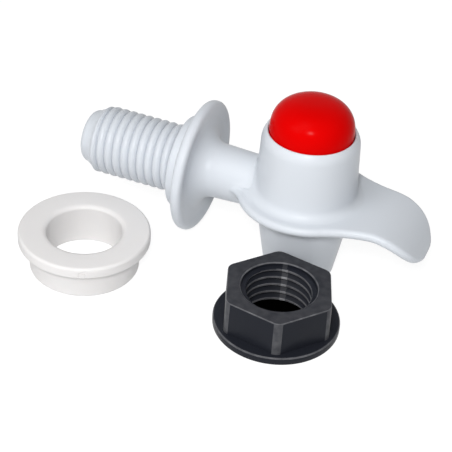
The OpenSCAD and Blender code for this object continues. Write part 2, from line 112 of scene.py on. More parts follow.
def smooth_step(value: float, low: float, high: float) -> float:
    """Rises smoothly from 0 at low to 1 at high.

    Args:
        value: The value to judge.
        low: Where the rise starts.
        high: Where the rise ends.

    Returns:
        A share from 0 to 1.
    """
    share = min(1.0, max(0.0, (value - low) / (high - low)))
    return share * share * (3 - 2 * share)


def arc(centre: Point, radius: float, start: float, end: float, steps: int = 12) -> list[Point]:
    """Points along an arc.

    Args:
        centre: Centre of the arc.
        radius: Radius of the arc.
        start: Angle of the first point, in degrees.
        end: Angle of the last point, in degrees.
        steps: Number of chords.

    Returns:
        The points, both ends among them.
    """
    angles = [math.radians(start + (end - start) * i / steps) for i in range(steps + 1)]
    return [(centre[0] + radius * math.cos(a), centre[1] + radius * math.sin(a)) for a in angles]


def spread(points: list[Point], longest: float) -> list[Point]:
    """Divides the chords of a profile so that none is longer than a given length.

    Args:
        points: Corners of the profile.
        longest: Longest chord that stays whole.

    Returns:
        The profile with the extra points.
    """
    result = [points[0]]
    for (x0, y0), (x1, y1) in zip(points, points[1:]):
        parts = max(1, math.ceil(math.hypot(x1 - x0, y1 - y0) / longest))
        result += [(x0 + (x1 - x0) * k / parts, y0 + (y1 - y0) * k / parts) for k in range(1, parts + 1)]
    return result


def turned(profile: list[Point], axis: Axis = Axis.UP, steps: int = 128, ring: bool = False) -> BMesh:
    """Spins a profile into a closed solid.

    Args:
        profile: Points as (radius, height), or as (place along the shank, radius) about the shank.
        axis: The axis that the profile is spun about.
        steps: Number of faces round the axis.
        ring: Whether the profile is closed and clear of the axis, instead of ending on it.

    Returns:
        The solid, with its faces pointing outwards.
    """
    bm = bmesh.new()
    verts = [bm.verts.new((a, 0, b)) for a, b in profile]
    pairs = list(zip(verts, verts[1:])) + ([(verts[-1], verts[0])] if ring else [])
    edges = [bm.edges.new(pair) for pair in pairs]
    bmesh.ops.spin(bm, geom=verts + edges, cent=(0, 0, 0), axis=axis.value, dvec=(0, 0, 0),
                   angle=2 * math.pi, steps=steps, use_merge=True, use_duplicate=False)
    bmesh.ops.remove_doubles(bm, verts=bm.verts, dist=MERGE)
    bmesh.ops.recalc_face_normals(bm, faces=bm.faces)
    return bm


def lofted(sections: list[list[Vector]]) -> BMesh:
    """Bridges closed sections that have the same number of points, and closes both ends.

    Args:
        sections: The points of each section, in the same order.

    Returns:
        The solid, with its faces pointing outwards.
    """
    bm = bmesh.new()
    loops: list[list[bmesh.types.BMEdge]] = []
    for section in sections:
        made = bmesh.ops.create_circle(bm, cap_ends=False, segments=len(section), radius=1)
        for vert, place in zip(made["verts"], section):
            vert.co = place
        loops.append(list({edge for vert in made["verts"] for edge in vert.link_edges}))
    for first, second in zip(loops, loops[1:]):
        bmesh.ops.bridge_loops(bm, edges=first + second)
    for loop in (loops[0], loops[-1]):
        bmesh.ops.edgeloop_fill(bm, edges=loop)
    bmesh.ops.recalc_face_normals(bm, faces=bm.faces)
    return bm


def wound(outline: list[Point], direction: Vector, pitch: float, turns: int) -> BMesh:
    """Winds the outline of one ridge into the skin of a thread.

    Args:
        outline: Points in the plane of X and Z, whose ends lie one pitch apart along the thread.
        direction: The way that the thread advances.
        pitch: Advance in one turn.
        turns: Number of turns.

    Returns:
        The skin, open at both ends.
    """
    bm = bmesh.new()
    verts = [bm.verts.new((x, 0, z)) for x, z in outline]
    edges = [bm.edges.new(pair) for pair in zip(verts, verts[1:])]
    bmesh.ops.spin(bm, geom=verts + edges, cent=(0, 0, 0), axis=direction, dvec=direction * pitch / PER_TURN,
                   angle=2 * math.pi * turns, steps=PER_TURN * turns, use_merge=False, use_duplicate=False)
    bmesh.ops.remove_doubles(bm, verts=bm.verts, dist=10 * MERGE)
    return bm


def trimmed(bm: BMesh, axis: Axis, low: float, high: float) -> BMesh:
    """Cuts a skin off at two planes and closes it there.

    Args:
        bm: The skin, which is changed.
        axis: The axis that the planes are square to.
        low: Place of the first plane.
        high: Place of the second plane.

    Returns:
        The same mesh, closed.
    """
    along = Vector(axis.value)
    for place, side in ((high, 1), (low, -1)):
        cut = bmesh.ops.bisect_plane(bm, geom=bm.verts[:] + bm.edges[:] + bm.faces[:], dist=MERGE,
                                     plane_co=along * place, plane_no=along * side, clear_outer=True)
        bmesh.ops.edgeloop_fill(bm, edges=[e for e in cut["geom_cut"] if isinstance(e, bmesh.types.BMEdge)])
    bmesh.ops.recalc_face_normals(bm, faces=bm.faces)
    return bm


def moved(bm: BMesh, offset: Vector, turn: float = 0.0) -> BMesh:
    """Turns a mesh about +Z and then shifts it.

    Args:
        bm: The mesh, which is changed.
        offset: The shift.
        turn: The turn in degrees.

    Returns:
        The same mesh.
    """
    bm.transform(Matrix.Translation(offset) @ Matrix.Rotation(math.radians(turn), 4, "Z"))
    return bm


def joined(parts: list[BMesh]) -> BMesh:
    """Puts several meshes into one, as separate shells.

    Args:
        parts: The meshes, which are freed.

    Returns:
        The mesh that holds them all.
    """
    whole = bmesh.new()
    for part in parts:
        scratch = bpy.data.meshes.new("scratch")
        part.to_mesh(scratch)
        whole.from_mesh(scratch)
        bpy.data.meshes.remove(scratch)
        part.free()
    return whole


def scratch_object(bm: BMesh) -> bpy.types.Object:
    """Makes a linked object of a mesh, for modifiers to work on, and frees the mesh."""
    mesh = bpy.data.meshes.new("scratch")
    bm.to_mesh(mesh)
    bm.free()
    made = bpy.data.objects.new("scratch", mesh)
    bpy.context.scene.collection.objects.link(made)
    return made


def evaluated(made: bpy.types.Object, *helpers: bpy.types.Object) -> BMesh:
    """Reads the mesh that an object's modifiers give, and removes the object and its helpers.

    Args:
        made: The object that carries the modifiers.
        helpers: Objects that the modifiers needed.

    Returns:
        The mesh with the modifiers in it.
    """
    bm = bmesh.new()
    bm.from_object(made, bpy.context.evaluated_depsgraph_get())
    for used in (made, *helpers):
        mesh = used.data
        bpy.data.objects.remove(used)
        bpy.data.meshes.remove(mesh)
    return bm


def combined(target: BMesh, tool: BMesh, how: Join) -> BMesh:
    """Combines two closed solids.

    Args:
        target: The solid that is kept or cut, which is freed.
        tool: The solid that is added or that cuts, which is freed.
        how: Whether the tool is added or cuts.

    Returns:
        The combined solid.
    """
    kept, other = scratch_object(target), scratch_object(tool)
    modifier = kept.modifiers.new("combine", "BOOLEAN")
    modifier.operation = how.value
    modifier.solver = "MANIFOLD"
    modifier.object = other
    return evaluated(kept, other)


def remeshed(bm: BMesh, voxel: float) -> BMesh:
    """Makes one even skin of overlapping solids.

    Args:
        bm: The solids, which are freed.
        voxel: Size of the faces.

    Returns:
        The skin.
    """
    kept = scratch_object(bm)
    modifier = kept.modifiers.new("skin", "REMESH")
    modifier.mode = "VOXEL"
    modifier.voxel_size = voxel
    return evaluated(kept)


def finished(name: str, bm: BMesh, material: bpy.types.Material, body: Body, slot: str,
             *nodes: str, crease: float = 38.0) -> bpy.types.Object:
    """Makes a piece of a mesh in millimetres, in place, and hangs it on its body.

    Args:
        name: Name of the piece.
        bm: The mesh, which is freed.
        material: The finish.
        body: The body that it moves with.
        slot: Not used.
        nodes: The solids of the model that it stands for.
        crease: Angle in degrees past which an edge stays sharp.

    Returns:
        The piece.
    """
    bm.transform(WORK_SCALE)
    for face in bm.faces:
        face.smooth = True
    for edge in bm.edges:
        edge.smooth = len(edge.link_faces) == 2 and edge.calc_face_angle() < math.radians(crease)
    mesh = bpy.data.meshes.new(name)
    bm.to_mesh(mesh)
    bm.free()
    made = bpy.data.objects.new(name, mesh)
    bpy.context.scene.collection.objects.link(made)
    mesh.materials.append(material)
    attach(made, body.value)
    if nodes:
        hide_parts(*nodes)
    log.info("%s: %d faces", name, len(mesh.polygons))
    return made


def corner(node: str) -> tuple[Vector, Vector]:
    """Lowest and highest corner of a solid of the model, in millimetres."""
    low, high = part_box(node)
    return low / MM, high / MM


def middle(node: str) -> Vector:
    """Centre of a solid's box at the height of its foot, in millimetres."""
    low, high = corner(node)
    return Vector(((low.x + high.x) / 2, (low.y + high.y) / 2, low.z))


def add_node(tree: bpy.types.NodeTree, kind: str, values: dict[str | int, object] | None = None,
             **settings: object) -> bpy.types.Node:
    """Adds a node to a tree.

    Args:
        tree: The tree.
        kind: The node's type, without what all shader nodes start with.
        values: Values of its inputs, by their names or places.
        settings: Settings of the node itself.

    Returns:
        The node.
    """
    made = tree.nodes.new("ShaderNode" + kind)
    for label, setting in settings.items():
        setattr(made, label, setting)
    for socket, value in (values or {}).items():
        made.inputs[socket].default_value = value
    return made


class Skin:
    """Node group that gives moulded plastic its cloudy colour, uneven gloss and fine grain."""

    NAME = "moulded skin"
    INPUTS = (("Colour", "NodeSocketColor", (0.8, 0.8, 0.8, 1.0)),
              ("Cloud colour", "NodeSocketColor", (0.7, 0.7, 0.7, 1.0)),
              ("Cloud scale", "NodeSocketFloat", 60.0), ("Cloud share", "NodeSocketFloat", 0.3),
              ("Gloss low", "NodeSocketFloat", 0.3), ("Gloss high", "NodeSocketFloat", 0.4),
              ("Grain scale", "NodeSocketFloat", 900.0), ("Grain depth", "NodeSocketFloat", 0.02))
    OUTPUTS = (("Colour", "NodeSocketColor"), ("Roughness", "NodeSocketFloat"), ("Normal", "NodeSocketVector"))

    def __init__(self) -> None:
        """Builds the group once."""
        self.tree = bpy.data.node_groups.new(self.NAME, "ShaderNodeTree")
        for label, kind, value in self.INPUTS:
            self.tree.interface.new_socket(label, in_out="INPUT", socket_type=kind).default_value = value
        for label, kind in self.OUTPUTS:
            self.tree.interface.new_socket(label, in_out="OUTPUT", socket_type=kind)
        self.source = self.tree.nodes.new("NodeGroupInput")
        self.sink = self.tree.nodes.new("NodeGroupOutput")
        self.place = add_node(self.tree, "TexCoord")
        self._clouds()
        self._grain()

    def _noise(self, scale: str, detail: float) -> bpy.types.Node:
        """Adds a noise on object coordinates whose scale comes from a named input.

        Args:
            scale: Name of the input that sets the scale.
            detail: Number of octaves.

        Returns:
            The noise node.
        """
        noise = add_node(self.tree, "TexNoise", {"Detail": detail})
        self.tree.links.new(self.place.outputs["Object"], noise.inputs["Vector"])
        self.tree.links.new(self.source.outputs[scale], noise.inputs["Scale"])
        return noise

    def _clouds(self) -> None:
        """Adds the cloudy colour and the uneven gloss."""
        noise = self._noise("Cloud scale", 3.0)
        share = add_node(self.tree, "Math", operation="MULTIPLY")
        blend = add_node(self.tree, "Mix", data_type="RGBA")
        gloss = add_node(self.tree, "MapRange", {"From Min": 0.3, "From Max": 0.7})
        link = self.tree.links.new
        link(noise.outputs["Fac"], share.inputs[0])
        link(self.source.outputs["Cloud share"], share.inputs[1])
        link(share.outputs[0], blend.inputs["Factor"])
        link(self.source.outputs["Colour"], blend.inputs["A"])
        link(self.source.outputs["Cloud colour"], blend.inputs["B"])
        link(noise.outputs["Fac"], gloss.inputs["Value"])
        link(self.source.outputs["Gloss low"], gloss.inputs["To Min"])
        link(self.source.outputs["Gloss high"], gloss.inputs["To Max"])
        link(blend.outputs["Result"], self.sink.inputs["Colour"])
        link(gloss.outputs["Result"], self.sink.inputs["Roughness"])

    def _grain(self) -> None:
        """Adds the fine grain as a bump."""
        noise = self._noise("Grain scale", 2.0)
        bump = add_node(self.tree, "Bump", {"Distance": 0.0002})
        link = self.tree.links.new
        link(noise.outputs["Fac"], bump.inputs["Height"])
        link(self.source.outputs["Grain depth"], bump.inputs["Strength"])
        link(bump.outputs["Normal"], self.sink.inputs["Normal"])


class FaceMasks:
    """Node group that gives two masks from 0 to 1: the top faces, which keep the lit colour while the rest takes
    painted shade, and the painted highlights.
    """

    NAME = "face masks"
    # Face layer 'top' sets painted light against painted shade; face layer 'worn' holds painted highlights.
    PAINTED_LIGHT_TOP = "top"
    PAINTED_HIGHLIGHT = "worn"

    def __init__(self) -> None:
        """Builds the group once."""
        self.tree = bpy.data.node_groups.new(self.NAME, "ShaderNodeTree")
        link = self.tree.links.new
        sink, place = self.tree.nodes.new("NodeGroupOutput"), add_node(self.tree, "TexCoord")
        noise = add_node(self.tree, "TexNoise", {"Scale": 420.0, "Detail": 3.0})
        link(place.outputs["Object"], noise.inputs["Vector"])
        for layer in (self.PAINTED_LIGHT_TOP, self.PAINTED_HIGHLIGHT):
            label = layer.capitalize()
            self.tree.interface.new_socket(label, in_out="OUTPUT", socket_type="NodeSocketFloat")
            stored = add_node(self.tree, "Attribute", attribute_name=layer)
            patchy = add_node(self.tree, "MapRange", {"To Min": 0.0})
            link(noise.outputs["Fac"], patchy.inputs["Value"])
            link(stored.outputs["Fac"], patchy.inputs["To Max"])
            link(patchy.outputs["Result"], sink.inputs[label])


@dataclass(frozen=True)
class Plastic:
    """Moulded plastic or rubber, with the numbers that set its look."""

    name: str
    colour: Colour
    cloud: Colour
    cloud_share: float = 0.35
    cloud_scale: float = 55.0
    gloss: tuple[float, float] = (0.3, 0.4)
    grain_scale: float = 1100.0
    grain_depth: float = 0.04
    specular: float = 0.5
    translucency: float = 0.0

    def material(self, skin: Skin) -> bpy.types.Material:
        """Builds the material round the shared skin.

        Args:
            skin: The node group that gives clouds, gloss and grain.

        Returns:
            The material.
        """
        made = bpy.data.materials.new(self.name)
        made.use_nodes = True
        link = made.node_tree.links.new
        shader = made.node_tree.nodes["Principled BSDF"]
        group = add_node(made.node_tree, "Group", node_tree=skin.tree)
        values = {"Colour": (*self.colour, 1.0), "Cloud colour": (*self.cloud, 1.0),
                  "Cloud scale": self.cloud_scale, "Cloud share": self.cloud_share,
                  "Gloss low": self.gloss[0], "Gloss high": self.gloss[1],
                  "Grain scale": self.grain_scale, "Grain depth": self.grain_depth}
        for label, value in values.items():
            group.inputs[label].default_value = value
        link(group.outputs["Colour"], shader.inputs["Base Color"])
        link(group.outputs["Roughness"], shader.inputs["Roughness"])
        link(group.outputs["Normal"], shader.inputs["Normal"])
        shader.inputs["Specular IOR Level"].default_value = self.specular
        if self.translucency:
            shader.inputs["Subsurface Weight"].default_value = self.translucency
            shader.inputs["Subsurface Radius"].default_value = (1.0, 0.9, 0.8)
            shader.inputs["Subsurface Scale"].default_value = 0.001
        return made


@dataclass(frozen=True)
class PaintedLightPlastic:
    """Plastic with painted light: its sides and hollows carry painted shade below its lit top, and painted highlights
    lie along edges.
    """

    base: Plastic
    # side is the colour of painted shade, on every face but the top.
    side: Colour
    # The next colour is that of the painted highlights.
    highlight_colour: Colour

    def material(self, skin: Skin, masks: FaceMasks) -> bpy.types.Material:
        """Builds the plain plastic and lays the painted shade of the sides and the painted highlights over its colour.

        Args:
            skin: The node group that gives clouds, gloss and grain.
            masks: The node group that finds the lit top faces and the faces with painted highlights.

        Returns:
            The material.
        """
        made = self.base.material(skin)
        tree, link = made.node_tree, made.node_tree.links.new
        shader = tree.nodes["Principled BSDF"]
        plain = shader.inputs["Base Color"].links[0].from_socket
        group = add_node(tree, "Group", node_tree=masks.tree)
        # The first mix puts painted shade on all but the top faces; the second lays the painted highlights over it.
        by_painted_shade = add_node(tree, "Mix", {"A": (*self.side, 1.0)}, data_type="RGBA")
        by_painted_highlight = add_node(tree, "Mix", {"B": (*self.highlight_colour, 1.0)}, data_type="RGBA")
        link(group.outputs["Top"], by_painted_shade.inputs["Factor"])
        link(plain, by_painted_shade.inputs["B"])
        link(group.outputs["Worn"], by_painted_highlight.inputs["Factor"])
        link(by_painted_shade.outputs["Result"], by_painted_highlight.inputs["A"])
        link(by_painted_highlight.outputs["Result"], shader.inputs["Base Color"])
        return made


@dataclass(frozen=True)
class Steel:
    """Drawn stainless wire and turned screws."""

    name: str
    colour: Colour
    roughness: float

    def material(self, skin: Skin) -> bpy.types.Material:
        """Builds the metal, with the fine marks that the skin gives."""
        made = Plastic(self.name, self.colour, tuple(0.7 * c for c in self.colour), cloud_share=0.3,
                       gloss=(self.roughness, self.roughness + 0.15), grain_depth=0.1).material(skin)
        made.node_tree.nodes["Principled BSDF"].inputs["Metallic"].default_value = 1.0
        return made


class Finishes:
    """All finishes of the object, one material each."""

    def __init__(self) -> None:
        """Builds the shared skin and every material."""
        skin = Skin()
        self.body = Plastic("body white", (0.615, 0.648, 0.692), (0.585, 0.618, 0.662), gloss=(0.30, 0.40),
                            grain_depth=0.02, specular=0.26).material(skin)
        self.button = Plastic("button red", (0.64, 0.0004, 0.0004), (0.58, 0.0003, 0.0003), gloss=(0.16, 0.24),
                              grain_depth=0.05, specular=0.02).material(skin)
        self.bush = Plastic("bush white", (0.755, 0.742, 0.738), (0.71, 0.695, 0.69), gloss=(0.5, 0.6),
                            grain_depth=0.05, translucency=0.08).material(skin)
        dark = Plastic("nut dark", (0.054, 0.055, 0.062), (0.09, 0.091, 0.098), cloud_share=0.5,
                       cloud_scale=120.0, gloss=(0.3, 0.42), grain_depth=0.1, specular=0.1)
        # The nut takes painted shade on its sides and hollows and painted highlights on rims, corners and thread
        # crests.
        self.nut = PaintedLightPlastic(dark, (0.013, 0.0145, 0.02), (0.5, 0.5, 0.52)).material(skin, FaceMasks())
        self.stem = Plastic("stem white", (0.80, 0.80, 0.75), (0.76, 0.76, 0.70), gloss=(0.35, 0.45)).material(skin)
        self.seal = Plastic("seal black", (0.02, 0.02, 0.022), (0.03, 0.03, 0.032), gloss=(0.5, 0.65)).material(skin)
        self.washer = Plastic("washer grey", (0.36, 0.37, 0.39), (0.32, 0.33, 0.35), gloss=(0.5, 0.6)).material(skin)
        self.steel = Steel("spring steel", (0.62, 0.63, 0.65), 0.25).material(skin)


@dataclass
class BrimRun:
    """A flat run out of the round brim, with hollow flanks and round sides."""

    brim_r: float = 19.2
    half_t: float = 1.35
    half_width: float = 7.4
    blend_r: float = 7.0
    side_steps: int = 14

    def __post_init__(self) -> None:
        """Works out where the run leaves the brim and where its flanks turn straight."""
        self.blend_x = math.sqrt((self.brim_r + self.blend_r) ** 2 - (self.half_width + self.blend_r) ** 2)
        self.join_x = self.blend_x * self.brim_r / (self.brim_r + self.blend_r)

    def half_at(self, s: float) -> float:
        """Half width at distance s along the run, seen flat."""
        if s < self.blend_x:
            return self.half_width + self.blend_r - math.sqrt(self.blend_r ** 2 - (self.blend_x - s) ** 2)
        return self.half_width

    def thick_at(self, s: float) -> float:
        """Half thickness at distance s."""
        return self.half_t

    def bent(self, s: float, y: float, n: float) -> Vector:
        """Place of a point of the run: s along it, y to the side and n above its middle."""
        return Vector((s, y, n))

    def section(self, s: float) -> list[Vector]:
        """One closed section, flat above and below and round at both sides."""
        width, thick = self.half_at(s), self.thick_at(s)
        slope = (self.half_at(s + 0.01) - width) / 0.01 if s < self.blend_x else 0.0
        edge = min(width, self.half_t * math.hypot(1, slope))
        points = []
        for side in (1, -1):
            for i in range(self.side_steps + 1):
                angle = math.radians(90 * side - 180 * side * i / self.side_steps)
                points.append(self.bent(s, side * (width - edge + edge * math.cos(angle)), thick * math.sin(angle)))
        return points

    def solid(self) -> BMesh:
        """Lofts the run from the brim to just past its hollow flanks."""
        reach = self.blend_x + 0.6 - self.join_x
        return lofted([self.section(self.join_x + reach * i / 20) for i in range(21)])


@dataclass
class FingerRest(BrimRun):
    """The flat tongue that runs out from the brim and bends down at its end."""

    half_width: float = 11.9
    blend_r: float = 35.0
    flat: float = 22.0
    bend_r: float = 15.5
    bend_angle: float = 55.0
    end: float = 15.4
    end_start: float = 24.0
    end_full: float = 2.25

    def __post_init__(self) -> None:
        """Works out where the tongue leaves the brim and where its bend ends."""
        super().__post_init__()
        self.length = self.end_start + self.end
        self.mid_r = self.bend_r - self.half_t

    def half_at(self, s: float) -> float:
        """Half width at distance s along the tongue, which narrows to its tip."""
        if s < self.blend_x:
            return super().half_at(s)
        past = max(0.0, s - self.end_start) / self.end
        return self.half_width * max(0.0, 1 - past ** self.end_full) ** (1 / self.end_full)

    def thick_at(self, s: float) -> float:
        """Half thickness at distance s, which rounds off at the tip."""
        past = max(0.0, s - self.length + self.half_t) / self.half_t
        return self.half_t * math.sqrt(max(0.0, 1 - past * past))

    def bent(self, s: float, y: float, n: float) -> Vector:
        """Place of a point of the flat tongue once it is bent.

        Args:
            s: Distance along the tongue.
            y: Distance to the side.
            n: Height above the middle of its thickness.

        Returns:
            The place from the barrel's axis.
        """
        full = self.mid_r * math.radians(self.bend_angle)
        on_bend = min(max(0.0, s - self.flat), full)
        angle = on_bend / self.mid_r
        past = max(0.0, s - self.flat - full)
        x = min(s, self.flat) + (self.mid_r + n) * math.sin(angle) + past * math.cos(angle)
        z = (self.mid_r + n) * math.cos(angle) - self.mid_r - past * math.sin(angle)
        return Vector((x, y, z))

    def solid(self) -> BMesh:
        """Lofts the tongue from the brim to its tip."""
        stations = [self.join_x + (self.flat - self.join_x) * i / 16 for i in range(17)]
        run = self.length - self.flat
        stations += [self.flat + run * math.sin(math.pi / 2 * i / 56) for i in range(1, 56)]
        return lofted([self.section(s) for s in stations])


@dataclass
class TapBody:
    """The one-piece moulding: threaded shank, flange, neck, barrel, brim, finger rest and spout."""

    barrel_x: float
    floor_z: float
    finishes: Finishes
    rest: FingerRest = field(default_factory=FingerRest)
    neck_web: BrimRun = field(default_factory=BrimRun)
    voxel: float = 0.4
    shank_len: float = 33.5
    thread_r: float = 9.8
    thread_depth: float = 1.15
    thread_pitch: float = 2.5
    thread_power: float = 0.6
    thread_phase: float = 0.52
    thread_fade: float = 0.5
    thread_start: float = 4.2
    pilot_len: float = 3.7
    pilot_r: float = 7.7
    pilot_edge: float = 2.0
    inlet_r: float = 5.0
    inlet_past: float = 5.0
    waterway_r: float = 4.0
    flange_r: float = 18.9
    flange_t: float = 3.1
    flange_edge: float = 1.3
    flange_dish: float = 0.5
    flange_rim: float = 3.4
    collar_r: float = 13.25
    collar_len: float = 3.9
    collar_edge: float = 0.7
    flare_r: float = 5.0
    neck_r1: float = 7.85
    neck_r2: float = 6.85
    barrel_r1: float = 14.1
    barrel_r2: float = 13.55
    barrel_h: float = 20.9
    barrel_round: float = 5.0
    well_r: float = 11.8
    well_floor: float = 9.4
    gland_r: float = 10.6
    ledge_z: float = 4.5
    chamber_r: float = 8.2
    brim_fillet: float = 2.6
    fillet_stop: float = 12.0
    spout_r1: float = 13.8
    spout_r2: float = 9.9
    spout_edge: float = 1.1
    outlet_r: float = 7.8
    outlet_h: float = 3.2
    spout_wall: float = 1.9
    web_z: float = 6.0
    web_t: float = 2.4
    seat_r: float = 4.5
    seat_h: float = 0.8
    seat_w: float = 1.0
    lip_r: float = 0.35
    blend_low: float = 2.0
    blend_high: float = 5.5
    blend_rounds: int = 160

    def __post_init__(self) -> None:
        """Works out the places that several surfaces share."""
        self.root_r = self.thread_r - self.thread_depth
        self.thread_end = self.shank_len - self.pilot_len
        self.web_low = -self.web_z - self.web_t
        lip_x = self.well_r + self.lip_r - (self.barrel_r2 - self.barrel_round)
        self.lip_angle = math.degrees(math.acos(lip_x / (self.barrel_round - 0.3)))
        self.round_z = self.barrel_h - 0.3 - (self.barrel_round - 0.3) * math.sin(math.radians(self.lip_angle))

    def spout_radius(self, z: float) -> float:
        """Radius of the spout's outside at height z."""
        half_t = self.rest.half_t
        return self.spout_r1 + (self.spout_r2 - self.spout_r1) * (-half_t - z) / (-self.floor_z - half_t)

    def stem_side(self) -> BMesh:
        """Collar, flange, flare and neck as one turned solid along the shank."""
        dish_x = self.flange_t - self.flange_dish
        edge, rim = self.flange_edge, self.flange_r - self.flange_edge
        slope = [k / 12 for k in range(1, 12)]
        fall = [(self.flange_t - self.flange_dish * smooth_step(k, 0, 1), rim - k * self.flange_rim) for k in slope]
        profile = [(-self.collar_len, 0.0)]
        collar = (self.collar_edge - self.collar_len, self.collar_r - self.collar_edge)
        profile += arc(collar, self.collar_edge, 180, 90, 8) + [(0.0, self.collar_r)]
        profile += arc((edge, rim), edge, 180, 90, 10) + arc((self.flange_t - edge, rim), edge, 90, 0, 10)
        profile += fall
        profile += arc((dish_x + self.flare_r, self.neck_r1 + self.flare_r), self.flare_r, 180, 270, 24)
        profile += [(self.barrel_x, self.neck_r2), (self.barrel_x, 0.0)]
        return turned(spread(profile, 2.0), Axis.SHANK, 160)

    def barrel_side(self) -> list[BMesh]:
        """Barrel, brim, spout and finger rest as overlapping solids."""
        half_t = self.rest.half_t
        fillet_x = self.barrel_r1 + self.brim_fillet
        round_x = self.barrel_r2 - self.barrel_round
        barrel = [(0.0, -half_t), (fillet_x, -half_t)]
        barrel += arc((fillet_x, half_t + self.brim_fillet), self.brim_fillet, 270 - self.fillet_stop, 180, 14)
        barrel += arc((round_x, self.round_z), self.barrel_round, 0, 62, 20)
        barrel += [(0.0, barrel[-1][1])]
        brim = [(0.0, -half_t)] + arc((self.rest.brim_r - half_t, 0.0), half_t, -90, 90, 20) + [(0.0, half_t)]
        foot_r = self.spout_radius(self.floor_z + self.spout_edge)
        spout = [(0.0, 0.0), (self.spout_r1, 0.0), (self.spout_r1, -half_t), (foot_r, self.floor_z + self.spout_edge)]
        spout += arc((foot_r - self.spout_edge, self.floor_z + self.spout_edge), self.spout_edge, 0, -90, 10)
        spout += [(0.0, self.floor_z)]
        parts = [turned(spread(profile, 2.0), steps=192) for profile in (barrel, brim, spout)]
        parts += [self.rest.solid(), moved(self.neck_web.solid(), Vector((0, 0, 0)), 180)]
        return [moved(part, Vector((self.barrel_x, 0, 0))) for part in parts]

    def soft_skin(self) -> BMesh:
        """One skin over all the moulded forms, with soft hollows where the neck runs into the barrel.

        Returns:
            The closed skin.
        """
        neck = self.stem_side()
        neck_tree = BVHTree.FromBMesh(neck)
        others = joined(self.barrel_side())
        other_tree = BVHTree.FromBMesh(others)
        whole = joined([neck, others])
        exact = BVHTree.FromBMesh(whole)
        skin = remeshed(whole, self.voxel)
        self._settle(skin, exact)
        self._blend(skin, neck_tree, other_tree)
        return skin

    def _settle(self, skin: BMesh, exact: BVHTree) -> None:
        """Lays the skin on the true surfaces.

        Args:
            skin: The skin, which is changed.
            exact: The true surfaces.
        """
        for vert in skin.verts:
            place, _, _, away = exact.find_nearest(vert.co, self.voxel)
            if place is not None and away < self.voxel / 2:
                vert.co = place

    def _blend(self, skin: BMesh, neck: BVHTree, others: BVHTree) -> None:
        """Fills the corner between the neck and what it runs into with a soft hollow.

        Args:
            skin: The skin, which is changed.
            neck: The neck's true surface.
            others: The true surfaces of barrel, brim and spout.
        """
        skin.normal_update()
        near: dict[bmesh.types.BMVert, float] = {}
        reach = self.blend_high
        for vert in skin.verts:
            if not self.flange_t + self.flare_r < vert.co.x < self.barrel_x:
                continue
            to_neck = neck.find_nearest(vert.co, reach)[3]
            to_other = others.find_nearest(vert.co, reach)[3]
            if to_neck is not None and to_other is not None:
                above = smooth_step(vert.co.z, -1.5, 1.5)
                wide = self.blend_low + (self.blend_high - self.blend_low) * above
                near[vert] = 1 - smooth_step(max(to_neck, to_other), 0.5, wide)
        before = {vert: (vert.co.copy(), vert.normal.copy()) for vert in near}
        for k in range(self.blend_rounds):
            chosen = [vert for vert, share in near.items() if share > k / self.blend_rounds]
            bmesh.ops.smooth_vert(skin, verts=chosen, factor=0.5, use_axis_x=True, use_axis_y=True, use_axis_z=True)
        for vert, (place, normal) in before.items():
            rise = (vert.co - place).dot(normal)
            vert.co = place + normal * max(0.0, rise)

    def threaded_rod(self) -> BMesh:
        """The shank's core with its rounded thread, which fades in and out, and its pilot.

        Returns:
            The closed rod.
        """
        points, spare = 16, 2 * self.thread_pitch
        outline = []
        for k in range(points + 1):
            share = k / points
            ridge = math.sin(math.pi * share) ** self.thread_power
            outline.append((spare - share * self.thread_pitch, self.root_r + self.thread_depth * ridge))
        span = self.thread_end - self.thread_start
        turns = math.ceil(span / self.thread_pitch) + 3
        bm = wound(outline, Vector((-1, 0, 0)), self.thread_pitch, turns)
        bm.transform(Matrix.Translation((-self.thread_start + self.thread_phase * self.thread_pitch, 0, 0)))
        fade = self.thread_fade * self.thread_pitch
        for vert in bm.verts:
            radius = math.hypot(vert.co.y, vert.co.z)
            share = min(1.0, max(0.0, (-vert.co.x - self.thread_start) / fade),
                        max(0.0, (self.thread_end + vert.co.x) / fade))
            wanted = self.root_r + (radius - self.root_r) * share
            vert.co.yz = vert.co.yz * wanted / radius
        trimmed(bm, Axis.SHANK, -self.thread_end, -self.collar_len + 0.4)
        tip = -self.shank_len
        nose = [(tip, 0.0)] + arc((tip + self.pilot_edge, self.pilot_r - self.pilot_edge), self.pilot_edge, 180, 90, 10)
        nose += [(-self.thread_end, self.root_r + 0.03), (-self.thread_end + 0.3, self.root_r - 0.2),
                 (-self.thread_end + 0.3, 0.0)]
        return combined(bm, turned(spread(nose, 2.0), Axis.SHANK, 144), Join.UNION)

    def inlet(self) -> BMesh:
        """The way for the water from the shank's end into the chamber."""
        past_wall = self.barrel_x - self.chamber_r + 1
        return turned([(-self.shank_len - 1, 0.0), (-self.shank_len - 1, self.inlet_r + 0.5),
                       (-self.shank_len, self.inlet_r + 0.5), (-self.shank_len + 0.5, self.inlet_r),
                       (self.inlet_past, self.inlet_r), (self.inlet_past, self.waterway_r),
                       (past_wall, self.waterway_r), (past_wall, 0.0)], Axis.SHANK, 96)

    def well(self) -> BMesh:
        """The button's well, the guide bush's seat and the valve's chamber, above the web."""
        lip_x, lip_z = self.well_r + self.lip_r, self.barrel_h - self.lip_r + 0.03
        top = self.barrel_h + 5
        well = [(0.0, top), (lip_x + 3, top), (lip_x + 0.55 * 3, self.barrel_h + 2.6)]
        well += arc((lip_x, lip_z), self.lip_r, self.lip_angle + 16, 180, 12)
        well += [(self.well_r, self.round_z), (self.well_r, self.well_floor), (self.gland_r, self.well_floor),
                 (self.gland_r, self.ledge_z), (self.chamber_r, self.ledge_z), (self.chamber_r, -self.web_z),
                 (self.seat_r, -self.web_z), (self.seat_r, self.web_low - 2), (0.0, self.web_low - 2)]
        return turned(well, steps=192)

